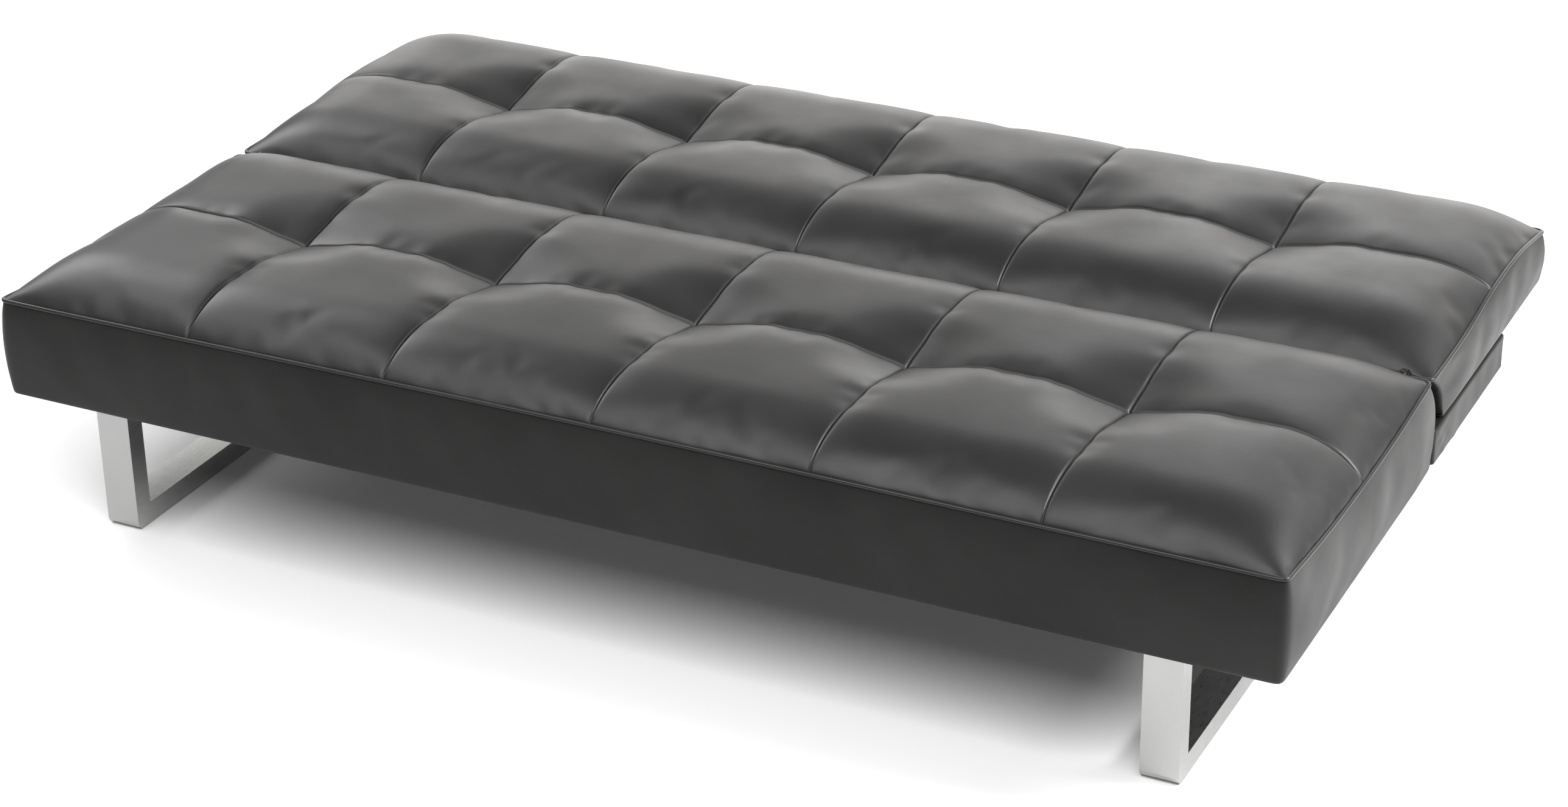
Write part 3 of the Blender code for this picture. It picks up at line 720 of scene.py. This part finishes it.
def spangled_steel(name, colours):
    """Plated steel with a fine spangle."""
    made = Shader(name, metallic=1.0)
    made.colour(made.cells(160.0), colours, span=(0.1, 0.8))
    made.roughness(made.noise(70.0), 0.32, 0.5)
    made.bump(made.noise(400.0), distance=0.00006, strength=0.4)
    return made.material


def spring_steel(name):
    made = Shader(name, metallic=1.0)
    streaks = made.noise(120.0, detail=4, vector=made.stretch((1, 6, 1)))
    made.colour(streaks, SPRING_COLOURS)
    made.roughness(streaks, 0.3, 0.48)
    made.bump(streaks, distance=0.00005, strength=0.3)
    return made.material


def stained_timber(name):
    """Dark-stained softwood, so that no pale line shows in the joints between the leather parts."""
    made = Shader(name)
    rings = made.noise(14.0, detail=6, vector=made.stretch((1.2, 9, 9)))
    fibres = made.noise(220.0, vector=made.stretch((0.5, 6, 6)))
    made.colour(rings, TIMBER_COLOURS)
    made.roughness(fibres, 0.55, 0.75)
    made.bump(fibres, distance=0.0002, strength=0.4)
    return made.material


def underside_cloth(name):
    """Black non-woven backing: pressed dots and loose fibres."""
    made = Shader(name)
    fibres = made.noise(500.0, detail=5)
    made.colour(fibres, BACKING_COLOURS)
    made.roughness(fibres, 0.75, 0.95)
    loose = made.bump(fibres, distance=0.0002, strength=0.5)
    made.bump(made.cells(650.0), distance=0.0003, strength=0.5, below=loose)
    return made.material


def dress_frame():
    """Gives every CAD node a material, found by the first word that its name holds."""
    plated = spangled_steel("zinc_look", ZINC_COLOURS)
    timber = stained_timber("frame_timber_look")
    backing = underside_cloth("underside_cloth_look")
    looks = (
        ("leg_bolt", plated),
        ("leg_rail", timber),
        ("leg_", satin_chrome("satin_chrome_look")),
        ("hinge_", spangled_steel("blackened_steel_look", BLACKENED_COLOURS)),
        ("spring", spring_steel("spring_steel_look")),
        ("rail", timber),
        ("dust_cover", backing),
        ("deck", backing),
        ("", leather("panel_leather_look", TOP_COLOURS, rough=(0.36, 0.47))),
    )
    for name, node in NODES.items():
        look = next(material for word, material in looks if word in name)
        node.data.materials.clear()
        node.data.materials.append(look)


# ---------------------------------------------------------------- stage, lights, camera
FLOOR_SIZE = 60.0
FLOOR_DROP = 0.0005  # the floor lies just under the feet
WALL_LIGHT = 0.38
CEILING_LIGHT = 0.30
CEILING_FROM = 0.8  # sine of the elevation where the ceiling's light is reached
NEUTRAL = (1, 1, 1)
WARM = (1, 0.985, 0.955)
COOL = (0.96, 0.98, 1)
# name, place, target, size, watts, tint
LIGHTS = (
    ("overhead_softbox", (0.3, -2.9, 4.2), (0.3, -2.2, 0), (5.8, 3.9), 315, NEUTRAL),
    ("right_floor_softbox", (2.4, 0.3, 1.6), (1.15, 0.1, 0), (1.0, 1.0), 100, NEUTRAL),
    ("left_floor_softbox", (-2.7, 0.6, 1.7), (-1.2, 0.1, 0), (1.3, 1.3), 30, NEUTRAL),
    ("rear_low_panel", (-0.55, 2.3, 0.86), (-0.55, 0, 0.45), (4.5, 1.44), 46, WARM),
    ("left_high_softbox", (-2.7, 1.5, 2.5), (-0.6, -0.3, 0.35), (1.2, 1.0), 14, NEUTRAL),
    ("left_front_softbox", (-2.0, -0.5, 2.5), (-0.6, -0.4, 0.35), (0.9, 0.7), 9, NEUTRAL),
    ("right_rear_softbox", (0.3, 2.7, 1.9), (0.8, 0.2, 0.35), (1.6, 1.1), 9, COOL),
)
CAMERA_PLACE = (1.8979, -3.7999, 2.236)
CAMERA_TURN = (26.6, 63.37, -0.82)  # heading, tilt and roll, in degrees
CAMERA_LENS = 78.6
CAMERA_SENSOR = 36.0


def build_floor():
    half = FLOOR_SIZE / 2
    corners = [(-half, -half, 0), (half, -half, 0), (half, half, 0), (-half, half, 0)]
    floor = mesh_object("floor", corners, [(0, 1, 2, 3)])
    made = Shader("pale_floor", roughness=0.9, specular=0.1)
    made.colour(made.noise(0.6), FLOOR_COLOURS, span=(0.2, 0.8))
    floor.data.materials.append(made.material)
    floor.location.z = -FLOOR_DROP


def build_room_light():
    """Even light from all round, a little weaker from above."""
    world = bpy.data.worlds.new("studio")
    world.use_nodes = True
    tree = world.node_tree
    place = tree.nodes.new("ShaderNodeTexCoord")
    split = tree.nodes.new("ShaderNodeSeparateXYZ")
    fade = tree.nodes.new("ShaderNodeMapRange")
    fade.inputs["From Min"].default_value = 0.0
    fade.inputs["From Max"].default_value = CEILING_FROM
    fade.inputs["To Min"].default_value = WALL_LIGHT
    fade.inputs["To Max"].default_value = CEILING_LIGHT
    tree.links.new(place.outputs["Generated"], split.inputs["Vector"])
    tree.links.new(split.outputs["Z"], fade.inputs["Value"])
    tree.nodes["Background"].inputs["Color"].default_value = (1, 1, 1, 1)
    tree.links.new(fade.outputs["Result"], tree.nodes["Background"].inputs["Strength"])
    bpy.context.scene.world = world


def build_lights():
    for name, place, target, size, watts, tint in LIGHTS:
        data = bpy.data.lights.new(name, "AREA")
        data.shape = "RECTANGLE"
        data.size, data.size_y = size
        data.energy = watts
        data.color = tint
        made = bpy.data.objects.new(name, data)
        made.location = place
        made.rotation_euler = (Vector(target) - Vector(place)).to_track_quat("-Z", "Y").to_euler()
        made.visible_camera = False
        bpy.context.scene.collection.objects.link(made)


def build_camera():
    data = bpy.data.cameras.new("camera")
    data.sensor_width = CAMERA_SENSOR
    data.lens = CAMERA_LENS
    made = bpy.data.objects.new("camera", data)
    heading, tilt, roll = (math.radians(angle) for angle in CAMERA_TURN)
    turn = Matrix.Rotation(heading, 4, "Z") @ Matrix.Rotation(tilt, 4, "X") @ Matrix.Rotation(roll, 4, "Z")
    made.matrix_world = Matrix.Translation(CAMERA_PLACE) @ turn
    bpy.context.scene.collection.objects.link(made)
    bpy.context.scene.camera = made


build_camera()
dress_frame()
TOP_LOOK = leather("top_leather_look", TOP_COLOURS, rough=(0.36, 0.47))
# the borders, the base's leather and the outside panel get the top leather darkened: painted shade, with a
# lower specular level
BORDER_SHADED_LOOK = leather("border_leather_painted_shade_look", BORDER_SHADED_COLOURS, rough=(0.42, 0.52), specular=0.25)
WELT_LOOK = leather("welt_leather_look", TOP_COLOURS, rough=(0.32, 0.4))
for spec in (SEAT, BACK):
    section = Section(spec)
    top, rows = soft_shape(section)
    build_cover(section, top, rows, TOP_LOOK)
    build_border(section, rows, BORDER_SHADED_LOOK)
    build_welt(section, rows[0], WELT_LOOK)
build_base_cover(BORDER_SHADED_LOOK)
build_outside_panel(BORDER_SHADED_LOOK)
build_floor()
build_room_light()
build_lights()
bpy.context.scene.view_settings.view_transform = "Standard"
